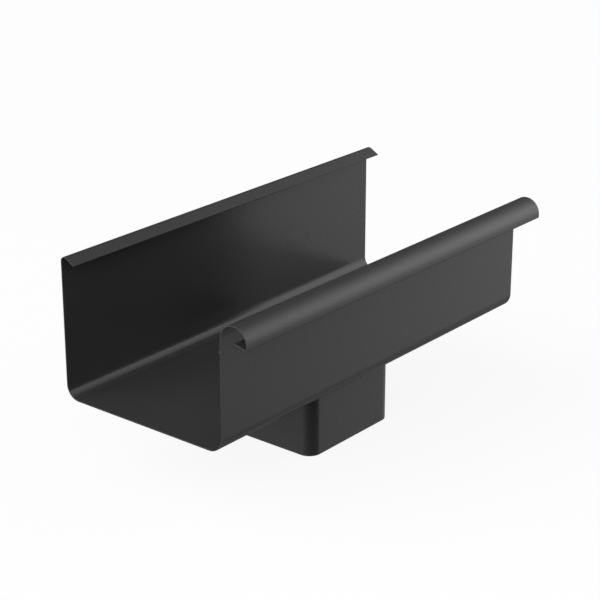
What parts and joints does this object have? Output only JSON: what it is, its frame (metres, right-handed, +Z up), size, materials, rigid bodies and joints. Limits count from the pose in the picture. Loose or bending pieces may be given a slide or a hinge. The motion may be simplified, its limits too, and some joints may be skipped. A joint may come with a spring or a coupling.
{
  "type": "gutter outlet",
  "caption": "Running outlet for a box gutter: folded sheet trough with a rolled front bead, a folded rear lip and a square spigot under its base.",
  "frame": {"origin": "centre of the spigot's bottom rim, in the rim's plane", "axes": "+X along the gutter, +Y from the beaded front wall towards the rear wall that faces the building, +Z up"},
  "size_m": [0.283, 0.1385, 0.1347],
  "materials": {
    "coated_sheet": "satin black coating on thin steel sheet"
  },
  "bodies": {
    "root": {"gutter_trough": "coated_sheet", "outlet_spigot": "coated_sheet"}
  },
  "joints": []
}
